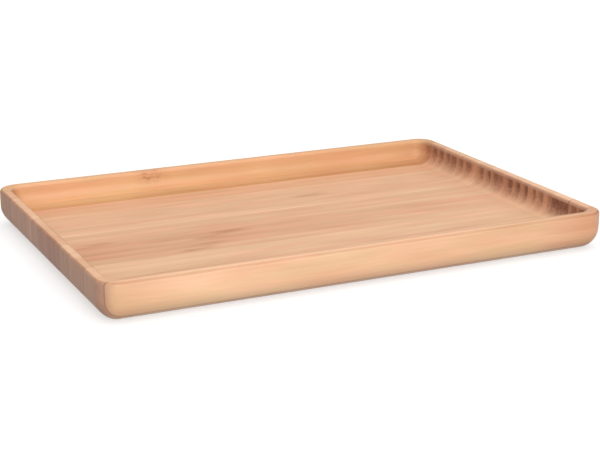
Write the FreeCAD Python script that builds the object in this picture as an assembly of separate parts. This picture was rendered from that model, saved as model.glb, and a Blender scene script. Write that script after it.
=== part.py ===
import FreeCAD, Part
import math
import os

# A coved rectangular serving tray, milled from one thick board of bamboo.
# The board is a stack of narrow bamboo strips that stand on edge, run the whole
# length of the tray and are glued face to face.  Every strip is its own solid.
#
# Frame: X along the length, Y from the front wall to the back wall, Z up.
# The origin is the centre of the underside, on the surface the tray stands on.
# All sizes are in millimetres.

# ---- driving dimensions -------------------------------------------------------
LENGTH = 280.0              # outside, along X
WIDTH = 191.0               # outside, along Y
HEIGHT = 21.0               # board thickness, underside to rim

CORNER_RADIUS = 10.5        # outside corners, seen from above
BOTTOM_RADIUS = 11.7        # round under the outside walls
FOOT_INSET = 10.3           # from the outside walls to the edge of the flat underside
WALL = 6.0                  # wall thickness at half height
FLOOR = 8.0                 # floor thickness under the pocket
POCKET_CORNER_RADIUS = 8.5  # inside corners, seen from above
COVE_RADIUS = 7.6           # cove between the floor and the walls
RIM_ROUND = 1.9             # rounding of both edges of the rim

STRIP = 7.75                # thickness of one planed bamboo strip
BACK_STRIP = 9.0            # the strip that forms the outside of the back wall

# ---- derived sizes --------------------------------------------------------------
HALF_LENGTH = LENGTH / 2.0
HALF_WIDTH = WIDTH / 2.0
FULL_STRIPS = int((WIDTH - BACK_STRIP) // STRIP)
CUTTER_OVERRUN = 5.0        # how far a cutting solid passes a face that it opens


def upright_edges(shape):
    """Straight edges of a block that run along Z."""
    found = []
    for edge in shape.Edges:
        along = edge.Vertexes[-1].Point - edge.Vertexes[0].Point
        if abs(along.z) > 0.99 * along.Length > 0.0:
            found.append(edge)
    return found


def edges_at_height(shape, height, half_x, half_y):
    """Edges that lie in the plane z = height, within half_x and half_y of the centre."""
    found = []
    for edge in shape.Edges:
        box = edge.BoundBox
        level = abs(box.ZMin - height) < 1e-4 and abs(box.ZMax - height) < 1e-4
        inside = box.XMax <= half_x + 1e-4 and box.YMax <= half_y + 1e-4
        if level and inside:
            found.append(edge)
    return found


def rounded_block(length, width, bottom, top, corner_radius):
    """A block centred on the Z axis, its four upright corners rounded."""
    corner = FreeCAD.Vector(-length / 2.0, -width / 2.0, bottom)
    block = Part.makeBox(length, width, top - bottom, corner)
    return block.makeFillet(corner_radius, upright_edges(block))


def wall_section():
    """Upright section through the board's edge: its outside face is at x = 0, x grows inwards.

    The round under the wall is larger than the corner radius, so its arc stops at the edge
    of the flat underside, just short of level, and the corner can turn with the same section.
    """
    centre_height = math.sqrt(BOTTOM_RADIUS ** 2 - (BOTTOM_RADIUS - FOOT_INSET) ** 2)
    diagonal = BOTTOM_RADIUS * math.sqrt(0.5)
    arc_top = FreeCAD.Vector(0.0, 0.0, centre_height)
    arc_middle = FreeCAD.Vector(BOTTOM_RADIUS - diagonal, 0.0, centre_height - diagonal)
    arc_foot = FreeCAD.Vector(FOOT_INSET, 0.0, 0.0)
    inner_foot = FreeCAD.Vector(CORNER_RADIUS, 0.0, 0.0)
    inner_top = FreeCAD.Vector(CORNER_RADIUS, 0.0, HEIGHT)
    outer_top = FreeCAD.Vector(0.0, 0.0, HEIGHT)
    arc = Part.Arc(arc_top, arc_middle, arc_foot).toShape()
    straight = Part.makePolygon([arc_foot, inner_foot, inner_top, outer_top, arc_top])
    return Part.Face(Part.Wire([arc] + straight.Edges))


def side_and_corner(run, turn, start_x, start_y):
    """One straight side of the board's edge and the corner before it, turned into place."""
    section = wall_section()
    upright = FreeCAD.Vector(0.0, 0.0, 1.0)
    side = section.extrude(FreeCAD.Vector(0.0, run, 0.0))
    corner = section.revolve(FreeCAD.Vector(CORNER_RADIUS, 0.0, 0.0), upright, 90.0)
    for piece in (side, corner):
        piece.rotate(FreeCAD.Vector(), upright, turn)
        piece.translate(FreeCAD.Vector(start_x, start_y, 0.0))
    return [side, corner]


def outside_body():
    """The board with its rounded corners, its round underside and its rim rounding."""
    half_long = HALF_LENGTH - CORNER_RADIUS
    half_short = HALF_WIDTH - CORNER_RADIUS
    corner = FreeCAD.Vector(-half_long, -half_short, 0.0)
    core = Part.makeBox(2.0 * half_long, 2.0 * half_short, HEIGHT, corner)
    ring = []
    ring += side_and_corner(2.0 * half_short, 0.0, -HALF_LENGTH, -half_short)
    ring += side_and_corner(2.0 * half_long, 90.0, half_long, -HALF_WIDTH)
    ring += side_and_corner(2.0 * half_short, 180.0, HALF_LENGTH, half_short)
    ring += side_and_corner(2.0 * half_long, 270.0, -half_long, HALF_WIDTH)
    body = core.multiFuse(ring).removeSplitter()
    rim = edges_at_height(body, HEIGHT, HALF_LENGTH, HALF_WIDTH)
    return body.makeFillet(RIM_ROUND, rim)


def pocket():
    """The space that is milled out: a rounded block with a coved foot."""
    length = LENGTH - 2.0 * WALL
    width = WIDTH - 2.0 * WALL
    space = rounded_block(length, width, FLOOR, HEIGHT + CUTTER_OVERRUN, POCKET_CORNER_RADIUS)
    foot = edges_at_height(space, FLOOR, HALF_LENGTH, HALF_WIDTH)
    return space.makeFillet(COVE_RADIUS, foot)


def tray_body():
    """The whole tray before it is divided into strips."""
    body = outside_body().cut(pocket())
    mouth = edges_at_height(body, HEIGHT, HALF_LENGTH - WALL, HALF_WIDTH - WALL)
    return body.makeFillet(RIM_ROUND, mouth)


def strip_boundaries():
    """Distances from the outside of the back wall to every glue line, ends included."""
    lines = [0.0]
    for number in range(FULL_STRIPS + 1):
        lines.append(BACK_STRIP + number * STRIP)
    lines.append(WIDTH)
    return lines


def strip_name(number, count):
    """Strips are numbered from the back wall to the front wall."""
    if number == 0:
        return "back_wall_strip"
    if number == 1:
        return "back_cove_strip"
    if number == count - 2:
        return "front_cove_strip"
    if number == count - 1:
        return "front_wall_strip"
    return "floor_strip_%02d" % (number - 1)


def strip_solid(body, near, far):
    """The part of the tray between two distances from the outside of the back wall."""
    corner = FreeCAD.Vector(-LENGTH, HALF_WIDTH - far, -CUTTER_OVERRUN)
    slab = Part.makeBox(2.0 * LENGTH, far - near, HEIGHT + 2.0 * CUTTER_OVERRUN, corner)
    return body.common(slab).Solids[0]


def main():
    os.makedirs("parts", exist_ok=True)
    body = tray_body()
    lines = strip_boundaries()
    count = len(lines) - 1
    for number in range(count):
        strip = strip_solid(body, lines[number], lines[number + 1])
        strip.exportStep("parts/%s.step" % strip_name(number, count))


main()
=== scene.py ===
import math

import bpy
from mathutils import Matrix, Vector


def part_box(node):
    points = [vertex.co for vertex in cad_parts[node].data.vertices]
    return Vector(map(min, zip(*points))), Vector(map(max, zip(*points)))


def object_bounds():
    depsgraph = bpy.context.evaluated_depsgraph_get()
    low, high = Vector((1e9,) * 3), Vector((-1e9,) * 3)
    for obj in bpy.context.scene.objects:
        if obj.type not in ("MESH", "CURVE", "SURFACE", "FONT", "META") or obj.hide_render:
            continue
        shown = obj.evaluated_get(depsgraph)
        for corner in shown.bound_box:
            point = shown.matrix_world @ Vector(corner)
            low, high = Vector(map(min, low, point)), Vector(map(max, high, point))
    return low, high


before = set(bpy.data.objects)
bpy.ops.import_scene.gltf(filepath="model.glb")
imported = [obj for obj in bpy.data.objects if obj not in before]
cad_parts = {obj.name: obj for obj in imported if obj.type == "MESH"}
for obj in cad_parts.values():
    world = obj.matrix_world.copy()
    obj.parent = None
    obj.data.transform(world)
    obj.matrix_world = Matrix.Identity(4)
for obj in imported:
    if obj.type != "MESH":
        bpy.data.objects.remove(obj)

# A bamboo serving tray.  The CAD strips keep their meshes; this script gives each of them
# the look of its own piece of bamboo, and adds the camera, the studio light and the floor.
# Every texture is a solid pattern in the frame's own millimetres, so the grain runs through
# a strip from its long sides to its end grain.

LOW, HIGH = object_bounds()
LENGTH = HIGH.x - LOW.x
MM_PER_M = 1000.0

# ---- node building ----------------------------------------------------------------------


class Graph:
    """Adds shader nodes to a tree; every call returns the socket that holds the result."""

    def __init__(self, tree):
        self.tree = tree

    def node(self, kind, **settings):
        made = self.tree.nodes.new(kind)
        for name, value in settings.items():
            setattr(made, name, value)
        return made

    def feed(self, socket, value):
        if isinstance(value, bpy.types.NodeSocket):
            self.tree.links.new(value, socket)
        else:
            socket.default_value = value

    def math(self, operation, a, b=0.0, c=0.0, clamp=False):
        made = self.node("ShaderNodeMath", operation=operation, use_clamp=clamp)
        for socket, value in zip(made.inputs, (a, b, c)):
            self.feed(socket, value)
        return made.outputs[0]

    def add(self, a, b):
        return self.math("ADD", a, b)

    def times(self, a, b):
        return self.math("MULTIPLY", a, b)

    def less(self, a, b):
        return self.math("SUBTRACT", a, b)

    def ramp(self, value, start, end, low=0.0, high=1.0, soft=True):
        """value taken from start..end to low..high, clamped; smooth at both ends if soft."""
        kind = "SMOOTHSTEP" if soft else "LINEAR"
        made = self.node("ShaderNodeMapRange", interpolation_type=kind, clamp=True)
        for name, number in (
            ("Value", value), ("From Min", start), ("From Max", end),
            ("To Min", low), ("To Max", high),
        ):
            self.feed(made.inputs[name], number)
        return made.outputs["Result"]

    def combine(self, x, y, z):
        made = self.node("ShaderNodeCombineXYZ")
        for socket, value in zip(made.inputs, (x, y, z)):
            self.feed(socket, value)
        return made.outputs[0]

    def split(self, vector):
        made = self.node("ShaderNodeSeparateXYZ")
        self.feed(made.inputs[0], vector)
        return made.outputs

    def noise(self, vector, detail=2.0, roughness=0.5, distortion=0.0):
        """Smooth noise with features about one unit wide, centred on 0.5."""
        made = self.node("ShaderNodeTexNoise", noise_dimensions="3D")
        self.feed(made.inputs["Vector"], vector)
        self.feed(made.inputs["Scale"], 1.0)
        self.feed(made.inputs["Detail"], detail)
        self.feed(made.inputs["Roughness"], roughness)
        self.feed(made.inputs["Distortion"], distortion)
        return made.outputs["Fac"]

    def mix(self, factor, a, b, blend="MIX"):
        made = self.node("ShaderNodeMix", data_type="RGBA", blend_type=blend)
        self.feed(made.inputs["Factor"], factor)
        for socket, value in zip((made.inputs[6], made.inputs[7]), (a, b)):
            self.feed(socket, value)
        return made.outputs[2]


def rgb(red, green, blue):
    """A colour given as it looks on a screen, 0 to 255, as the linear values that shaders use."""
    def linear(value):
        share = value / 255.0
        return share / 12.92 if share <= 0.04045 else ((share + 0.055) / 1.055) ** 2.4
    return (linear(red), linear(green), linear(blue), 1.0)


# ---- bamboo -------------------------------------------------------------------------------

PALE = rgb(233, 191, 157)            # soft tissue, the inner side of the culm
DEEP = rgb(186, 127, 92)             # packed fibres, the outer side of the culm
ROUTED_PALE = rgb(200, 147, 115)     # end grain inside the pocket, darker than on the outside
ROUTED_DEEP = rgb(96, 52, 38)
SANDED_PALE = rgb(192, 149, 123)     # end grain on the outside, sanded smooth
SANDED_DEEP = rgb(160, 114, 95)
KNOT = rgb(158, 98, 68)
SANDED_SEAM = rgb(250, 216, 182)     # a glue line that was left proud and sanded back
GLUE = rgb(128, 76, 50)
EDGE_SHADE = rgb(150, 110, 90)          # painted shade on the rim's outer round and on the round under the walls
RIM_LEVEL = 19.0                 # mm above the table, where the rim's rounding starts
KNUCKLE_LEVEL = 17.5             # mm, the middle of the joint that shows on the back wall
FOOT_LEVEL = 9.0                 # mm, where the round under the walls is well turned in
END_ZONE = 92.0                  # mm from the middle, where a strip's ends begin to change
GLOSS = 0.42                     # specular level of the thin clear finish
BUMP_STRENGTH = 0.35
BUMP_DEPTH = 0.00012             # m, how deep the grain is
PINK = (1.03, 0.975, 0.965, 1.0)     # slow drift of hue along a strip
STRAW = (0.985, 1.01, 0.955, 1.0)

GROUP_INPUTS = (
    ("Back", 0.0),           # y of the strip's back glue line, mm
    ("Thickness", 7.75),     # mm
    ("Tone", 0.0),           # paler above 0 and darker below, on the long faces
    ("Skin", 0.5),           # share of the strip's thickness that is dark skin side
    ("Flip", 0.0),           # 1 where the skin side faces the back of the tray
    ("End Tone", 0.0),       # the same for the end grain inside the pocket
    ("Outside Tone", 0.0),   # and on the outside
    ("Seed", 0.0),
    ("Knot X", 0.0),         # place of the culm joint along the strip, mm
    ("Knot Strength", 1.0),
    ("Knuckle", 0.0),        # 1 where the joint shows its ring of broken marks
    ("Drift", 0.0),          # how much darker the strip is at +X than in the middle
    ("Ends", 0.0),           # how much darker it is at both ends
    ("Seam", 0.15),          # how dark the back glue line is; below 0 it is pale
)


def bamboo_group():
    """One node group that every strip's material uses with its own numbers."""
    tree = bpy.data.node_groups.new("bamboo_grain", "ShaderNodeTree")
    face = tree.interface
    for name, value in GROUP_INPUTS:
        face.new_socket(name, in_out="INPUT", socket_type="NodeSocketFloat").default_value = value
    face.new_socket("Tint", in_out="INPUT", socket_type="NodeSocketColor")
    face.new_socket("Color", in_out="OUTPUT", socket_type="NodeSocketColor")
    face.new_socket("Roughness", in_out="OUTPUT", socket_type="NodeSocketFloat")
    face.new_socket("Height", in_out="OUTPUT", socket_type="NodeSocketFloat")
    g = Graph(tree)
    given = g.node("NodeGroupInput").outputs
    out = g.node("NodeGroupOutput")

    place = g.node("ShaderNodeTexCoord")
    x, y, z = (g.times(value, MM_PER_M) for value in g.split(place.outputs["Object"]))
    facing = g.split(place.outputs["Normal"])
    # end grain that looks towards the middle of the tray was cut by the router, and the
    # rim was sanded clean after that
    below_rim = g.ramp(z, RIM_LEVEL + 0.5, RIM_LEVEL - 0.5)
    routed = g.times(g.ramp(g.times(x, facing[0]), 10.0, -10.0), below_rim)
    # the more squarely the fibres are cut, the more the end grain shows
    end = g.ramp(
        g.math("ABSOLUTE", facing[0]),
        g.less(0.30, g.times(routed, 0.10)), g.add(0.92, g.times(routed, 0.12)))

    seed = g.times(given["Seed"], 37.0)
    # across the strip, 0 at the back glue line and 1 at the front one
    across = g.math("DIVIDE", g.less(given["Back"], y), given["Thickness"])

    # the fibres wander slowly
    wander = g.noise(g.combine(g.add(g.times(x, 1 / 70), seed), g.times(y, 1 / 30), g.times(z, 1 / 30)))
    y_fibre = g.add(y, g.times(g.less(wander, 0.5), 3.0))
    z_fibre = g.add(z, g.times(g.less(wander, 0.5), -5.0))

    def streaks(length, width, offset, detail, roughness=0.55):
        vector = g.combine(
            g.add(g.times(x, 1 / length), seed),
            g.add(g.times(y_fibre, 1 / width), offset),
            g.add(g.times(z_fibre, 1 / width), seed),
        )
        return g.noise(vector, detail, roughness)

    fine = streaks(24.0, 0.45, 3.0, 3.0, 0.6)
    medium = streaks(60.0, 1.8, 11.0, 2.0)
    broad = streaks(50.0, 9.0, 23.0, 1.0)
    hue = streaks(45.0, 9.0, 41.0, 1.0)

    # bundles: cells cut across by the end grain, long dashes along the strip
    cells = g.node("ShaderNodeTexVoronoi", feature="F1", voronoi_dimensions="3D")
    g.feed(cells.inputs["Vector"], g.combine(
        g.add(g.times(x, 1 / 34), seed), g.times(y_fibre, 1 / 0.62), g.times(z_fibre, 1 / 0.85)))
    g.feed(cells.inputs["Scale"], 1.0)
    bundle = g.ramp(cells.outputs["Distance"], 0.42, 0.12)

    # the skin side of the strip, packed with dark fibre, and its soft side
    lot = g.noise(g.combine(seed, 0.3, 0.6), 0.0)
    to_skin = g.add(across, g.times(given["Flip"], g.less(1.0, g.times(across, 2.0))))
    skin_edge = g.add(g.less(1.0, given["Skin"]), g.times(g.less(medium, 0.5), 0.35))
    skin_edge = g.add(skin_edge, g.times(g.less(lot, 0.5), 0.8))
    dense = g.ramp(g.less(to_skin, skin_edge), -0.30, 0.20)

    # long faces
    amount = g.less(0.36, g.times(given["Tone"], 0.16))
    amount = g.add(amount, g.times(g.less(dense, 0.5), 0.07))
    amount = g.add(amount, g.times(g.less(fine, 0.5), 0.22))
    amount = g.add(amount, g.times(g.less(medium, 0.5), 0.22))
    amount = g.add(amount, g.times(g.less(broad, 0.5), 0.50))
    drift = g.times(g.times(x, 2.0 / (LENGTH * MM_PER_M)), given["Drift"])
    ends = g.ramp(g.math("ABSOLUTE", x), END_ZONE, 0.5 * LENGTH * MM_PER_M)
    amount = g.add(amount, g.add(drift, g.times(ends, given["Ends"])))
    amount = g.add(amount, g.times(bundle, 0.05))
    along = g.mix(g.math("MULTIPLY", amount, 1.0, clamp=True), PALE, DEEP)
    along = g.mix(1.0, along, g.mix(g.ramp(hue, 0.35, 0.65), PINK, STRAW), blend="MULTIPLY")

    # end grain; inside the pocket it is darker towards the top of the wall, and on the skin side
    # of some strips more than of others
    high_on_wall = g.times(routed, g.ramp(g.add(z, g.times(g.less(medium, 0.5), 8.0)), 9.5, 17.0))
    tone = g.add(
        g.times(given["Outside Tone"], g.less(1.0, routed)), g.times(given["End Tone"], routed))
    depth = g.less(g.less(0.16, g.times(routed, 0.06)), g.times(tone, 0.30))
    depth = g.add(depth, g.times(high_on_wall, 0.16))
    depth = g.add(depth, g.times(dense, g.add(0.12, g.times(g.times(high_on_wall, lot), 0.52))))
    depth = g.add(depth, g.times(g.times(bundle, g.add(0.25, dense)), 0.16))
    depth = g.add(depth, g.times(g.less(fine, 0.5), 0.30))
    depth = g.add(depth, g.times(g.less(medium, 0.5), 0.45))
    depth = g.math("MULTIPLY", depth, 1.0, clamp=True)
    cut = g.mix(routed, g.mix(depth, SANDED_PALE, SANDED_DEEP), g.mix(depth, ROUTED_PALE, ROUTED_DEEP))
    colour = g.mix(end, along, cut)

    # the culm's joint: a patch of stained, broken streaks
    from_knot = g.add(g.less(x, given["Knot X"]), g.times(g.less(broad, 0.5), 14.0))
    near = g.ramp(g.math("ABSOLUTE", from_knot), 15.0, 2.0)
    stain = g.ramp(g.add(medium, g.times(g.less(fine, 0.5), 0.7)), 0.50, 0.72)
    middle = g.ramp(g.math("ABSOLUTE", g.add(g.less(across, 0.5), g.less(wander, 0.5))), 0.45, 0.0)
    mark = g.add(g.times(stain, 0.30), g.times(middle, 0.32))
    mark = g.math("MULTIPLY", g.times(mark, near), given["Knot Strength"], clamp=True)
    # and, on the back wall, a ring of short curved marks
    ring_x = g.less(x, given["Knot X"])
    ring_z = g.less(z, KNUCKLE_LEVEL)
    ring_distance = g.math("SQRT", g.add(g.times(ring_x, ring_x), g.times(g.times(ring_z, ring_z), 2.0)))
    broken = g.noise(g.combine(g.times(ring_x, 1 / 4.2), 0.0, g.times(ring_z, 1 / 1.2)), 2.0, 0.5, 0.9)
    ring = g.times(g.ramp(ring_distance, 9.0, 3.5), g.ramp(broken, 0.45, 0.62))
    mark = g.math("MAXIMUM", mark, g.times(g.times(ring, given["Knuckle"]), 0.6))
    colour = g.mix(g.times(mark, g.less(1.0, end)), colour, KNOT)

    # painted shade: the outer edge of the rim is darkened to damp its highlight, and the round that runs
    # under the walls a little too
    turned = g.math("ABSOLUTE", facing[2])
    rim = g.times(g.ramp(turned, 0.15, 0.5), g.ramp(turned, 1.0, 0.85))
    rim = g.times(rim, g.ramp(z, RIM_LEVEL - 0.3, RIM_LEVEL + 0.2))
    outwards = g.ramp(g.add(g.times(x, facing[0]), g.times(y, facing[1])), -8.0, 8.0)
    rim = g.times(rim, outwards)
    foot = g.ramp(z, FOOT_LEVEL, 1.0)
    painted_edge_shade = g.add(g.times(rim, g.less(0.36, g.times(end, 0.28))), g.times(foot, 0.02))
    painted_edge_shade = g.times(painted_edge_shade, g.add(0.7, g.times(medium, 0.6)))
    colour = g.mix(painted_edge_shade, colour, EDGE_SHADE, blend="MULTIPLY")

    # the top of the rim was sanded last and is the palest
    fresh = g.times(g.ramp(z, RIM_LEVEL + 0.7, RIM_LEVEL + 1.2), g.ramp(facing[2], 0.9, 0.99))
    colour = g.mix(g.times(fresh, 0.34), colour, PALE)

    # glue lines: a hair of darker colour at each side of the strip, or of paler colour
    # where the strip behind was left a little proud and sanded back
    to_back = g.times(across, given["Thickness"])
    to_front = g.less(given["Thickness"], to_back)
    glue = g.times(g.ramp(to_front, 0.16, 0.03), 0.15)
    line_width = g.add(0.15, g.times(g.math("ABSOLUTE", given["Seam"]), 0.75))
    back_line = g.ramp(to_back, line_width, 0.05)
    cut_across = g.ramp(g.math("ABSOLUTE", facing[1]), 0.95, 0.6)
    glue = g.math("MAXIMUM", glue, g.times(back_line, g.math("MAXIMUM", given["Seam"], 0.0)))
    pale = g.times(g.ramp(to_back, 2.0, 0.2), g.math("MAXIMUM", g.times(given["Seam"], -1.0), 0.0))
    pale = g.times(g.times(pale, g.ramp(broad, 0.30, 0.62)), g.less(1.0, g.times(end, 0.7)))
    glue = g.times(g.times(glue, cut_across), g.less(1.0, g.times(fresh, 0.6)))
    colour = g.mix(glue, colour, GLUE)
    colour = g.mix(g.times(pale, cut_across), colour, SANDED_SEAM)
    # the tint, and below 13 mm the tint again, which on the amber back wall strips is painted shade in
    # the cove at the foot of the wall
    colour = g.mix(1.0, colour, given["Tint"], blend="MULTIPLY")
    colour = g.mix(g.ramp(z, 13.0, 10.0), colour, given["Tint"], blend="MULTIPLY")
    g.feed(out.inputs["Color"], colour)

    rough = g.add(0.46, g.times(g.less(fine, 0.5), 0.22))
    rough = g.add(rough, g.times(end, 0.12))
    rough = g.add(rough, g.times(bundle, -0.05))
    g.feed(out.inputs["Roughness"], rough)

    height = g.add(g.times(fine, 0.6), g.times(medium, 0.4))
    height = g.add(height, g.times(bundle, g.less(0.35, g.times(end, 0.7))))
    height = g.less(height, g.times(mark, 0.4))
    height = g.less(height, g.times(glue, 1.2))
    g.feed(out.inputs["Height"], height)
    return tree


def bamboo(name, group, tint, numbers):
    """A strip's own material: the shared grain with this strip's numbers."""
    material = bpy.data.materials.new(name)
    material.use_nodes = True
    tree = material.node_tree
    tree.nodes.clear()
    g = Graph(tree)
    grain = g.node("ShaderNodeGroup", node_tree=group)
    for key, value in numbers.items():
        grain.inputs[key].default_value = value
    grain.inputs["Tint"].default_value = tint
    shader = g.node("ShaderNodeBsdfPrincipled")
    shader.inputs["Specular IOR Level"].default_value = GLOSS
    g.feed(shader.inputs["Base Color"], grain.outputs["Color"])
    g.feed(shader.inputs["Roughness"], grain.outputs["Roughness"])
    bump = g.node("ShaderNodeBump")
    bump.inputs["Strength"].default_value = BUMP_STRENGTH
    bump.inputs["Distance"].default_value = BUMP_DEPTH
    g.feed(bump.inputs["Height"], grain.outputs["Height"])
    g.feed(shader.inputs["Normal"], bump.outputs[0])
    end = g.node("ShaderNodeOutputMaterial")
    g.feed(end.inputs["Surface"], shader.outputs[0])
    return material


NATURAL = (1.0, 1.0, 1.0, 1.0)
AMBER = (0.94, 0.88, 0.75, 1.0)
BROWN_AMBER = (0.87, 0.81, 0.69, 1.0)
MAUVE = (1.0, 0.985, 0.985, 1.0)
PEACH = (1.04, 1.05, 1.03, 1.0)

# kinds of strip: tone of the long faces, share of skin, tone of the end grain in the pocket
# and on the outside, tint
OUTER_BACK = (0.0, 0.35, 1.6, 0.8, AMBER)
INNER_BACK = (0.0, 0.5, 0.7, 1.0, BROWN_AMBER)
ROSE = (-0.7, 0.55, -0.1, -1.1, MAUVE)
TAN = (0.0, 0.5, -0.1, -0.5, NATURAL)
HONEY = (0.1, 0.6, -0.4, -0.5, NATURAL)
DUSKY = (0.05, 0.55, -0.25, -1.6, NATURAL)
RUSSET = (-0.4, 0.6, -0.35, -1.8, MAUVE)
CREAM = (0.5, 0.38, 0.4, -0.2, NATURAL)
IVORY = (1.0, 0.42, 0.05, -0.8, NATURAL)
DARK_SKIN = (0.6, 0.85, -0.75, -0.2, NATURAL)
SAND = (0.0, 0.5, -0.1, 0.1, NATURAL)
OUTER_FRONT = (0.1, -0.5, 0.4, -0.4, PEACH)

# the strips from the back wall to the front wall
KINDS = (
    OUTER_BACK, INNER_BACK, ROSE, ROSE, TAN, HONEY, TAN, TAN, CREAM, TAN, TAN, DUSKY, ROSE,
    RUSSET, RUSSET, DUSKY, IVORY, IVORY, CREAM, DARK_SKIN, DARK_SKIN, SAND, SAND, TAN, OUTER_FRONT,
)
FLIPPED = (9, 13)                # strips whose skin side faces the back of the tray
SEAMS = {10: -0.7, 22: 1.0, 25: 0.8}     # glue lines that stand out, by the strip in front of them
# on strips 24 and 25, the front wall, the darkening towards +X and towards both ends is painted shade,
# the front face's light falling off towards its ends
DRIFTS = {
    1: 0.08, 2: 0.15, 12: -0.15, 13: -0.15, 14: -0.18, 15: -0.18, 16: -0.15,
    20: -0.35, 21: -0.35, 24: 0.10, 25: 0.14,
}
ENDS = {24: 0.35, 25: 0.40}

# place along the strip of the joint that shows, in mm, by strip counted from the back
KNOTS = {1: -50.0, 7: 32.0, 12: -111.0, 13: -38.0, 14: -52.0, 15: -56.0, 16: -66.0}


def dress_strips():
    """Gives each CAD strip its own bamboo, by its place across the tray."""
    group = bamboo_group()
    order = sorted(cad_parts, key=lambda name: -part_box(name)[1].y)
    for number, name in enumerate(order, 1):
        low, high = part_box(name)
        tone, skin, end_tone, outside_tone, tint = KINDS[number - 1]
        material = bamboo("bamboo_" + name, group, tint, {
            "Back": high.y * MM_PER_M,
            "Thickness": (high.y - low.y) * MM_PER_M,
            "Tone": tone,
            "Skin": skin,
            "Flip": 1.0 if number in FLIPPED else 0.0,
            "End Tone": end_tone,
            "Outside Tone": outside_tone,
            "Seed": 1.0 + number * 0.73,
            "Knot X": KNOTS.get(number, 0.0),
            "Knot Strength": 1.0 if number in KNOTS else 0.0,
            "Knuckle": 1.0 if number == 1 else 0.0,
            "Drift": DRIFTS.get(number, 0.0),
            "Ends": ENDS.get(number, 0.0),
            "Seam": SEAMS.get(number, 0.15),
        })
        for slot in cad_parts[name].material_slots:
            slot.material = material


# ---- camera, light and floor ----------------------------------------------------------------

CAMERA_AZIMUTH = math.radians(-25.4)
CAMERA_ELEVATION = math.radians(16.67)
CAMERA_DISTANCE = 2.867 * LENGTH
CAMERA_LENS = 87.36           # mm, on a sensor 36 mm wide
SHIFT_RIGHT = 0.01567 * LENGTH
SHIFT_UP = 0.01914 * LENGTH


def make_camera():
    data = bpy.data.cameras.new("camera")
    data.lens = CAMERA_LENS
    data.sensor_width = 36.0
    data.clip_start = 0.01
    data.clip_end = 50.0
    camera = bpy.data.objects.new("camera", data)
    flat = math.cos(CAMERA_ELEVATION)
    back = Vector((
        math.sin(CAMERA_AZIMUTH) * flat, -math.cos(CAMERA_AZIMUTH) * flat, math.sin(CAMERA_ELEVATION),
    ))
    right = Vector((0.0, 0.0, 1.0)).cross(back).normalized()
    up = back.cross(right)
    place = back * CAMERA_DISTANCE + right * SHIFT_RIGHT + up * SHIFT_UP
    turn = Matrix((right, up, back)).transposed().to_4x4()
    camera.matrix_world = Matrix.Translation(place) @ turn
    bpy.context.scene.collection.objects.link(camera)
    bpy.context.scene.camera = camera


TENT_HIGH = 0.95              # light from the tent in front and above
TENT_LOW = 0.26               # and from behind and below
KEY_POWER = 10.0              # watts
TOP_POWER = 40.0
KEY_PLACE = (-0.22, -1.3, 0.5)
KEY_SIZE = (0.8, 0.6)
TOP_PLACE = (0.0, 0.0, 4.0)
TOP_SIZE = (4.0, 4.0)
FLOOR_HALF = 8.0              # half the side of the floor, m
FLOOR_GAP = 0.00005           # between the floor and the underside, m
FLOOR_GLOW = 0.55             # how strongly the floor shines up from below


def softbox(name, place, aim, size, power):
    data = bpy.data.lights.new(name, "AREA")
    data.shape = "RECTANGLE"
    data.size, data.size_y = size
    data.energy = power
    light = bpy.data.objects.new(name, data)
    light.location = place
    light.rotation_mode = "QUATERNION"
    light.rotation_quaternion = (Vector(aim) - Vector(place)).to_track_quat("-Z", "Y")
    bpy.context.scene.collection.objects.link(light)


def make_light():
    """A soft tent, brightest in front and above, a low softbox in front and a big one overhead."""
    world = bpy.data.worlds.new("studio")
    world.use_nodes = True
    g = Graph(world.node_tree)
    towards = g.split(g.node("ShaderNodeTexCoord").outputs["Generated"])
    lit = g.less(g.times(towards[2], 0.85), g.times(towards[1], 0.5))
    background = world.node_tree.nodes["Background"]
    background.inputs["Color"].default_value = (1.0, 0.995, 0.985, 1.0)
    g.feed(background.inputs["Strength"], g.ramp(lit, -0.3, 0.75, TENT_LOW, TENT_HIGH))
    bpy.context.scene.world = world
    aim = (0.0, 0.0, 0.0)
    softbox("key", KEY_PLACE, aim, KEY_SIZE, KEY_POWER)
    softbox("top", TOP_PLACE, aim, TOP_SIZE, TOP_POWER)


def make_floor():
    """A plain pale floor, lit from below like a light table, so the tray's shadow stays faint.

    It throws no light back up at the tray.
    """
    mesh = bpy.data.meshes.new("floor")
    half = FLOOR_HALF
    corners = [(-half, -half, 0.0), (half, -half, 0.0), (half, half, 0.0), (-half, half, 0.0)]
    mesh.from_pydata(corners, [], [(0, 1, 2, 3)])
    floor = bpy.data.objects.new("floor", mesh)
    floor.location.z = LOW.z - FLOOR_GAP
    floor.visible_diffuse = False
    material = bpy.data.materials.new("floor_paint")
    material.use_nodes = True
    shader = material.node_tree.nodes["Principled BSDF"]
    shader.inputs["Base Color"].default_value = (0.5, 0.5, 0.5, 1.0)
    shader.inputs["Emission Color"].default_value = (1.0, 1.0, 1.0, 1.0)
    shader.inputs["Emission Strength"].default_value = FLOOR_GLOW
    shader.inputs["Roughness"].default_value = 0.9
    shader.inputs["Specular IOR Level"].default_value = 0.1
    mesh.materials.append(material)
    bpy.context.scene.collection.objects.link(floor)


make_camera()
make_light()
make_floor()
dress_strips()
bpy.context.scene.view_settings.view_transform = "Standard"
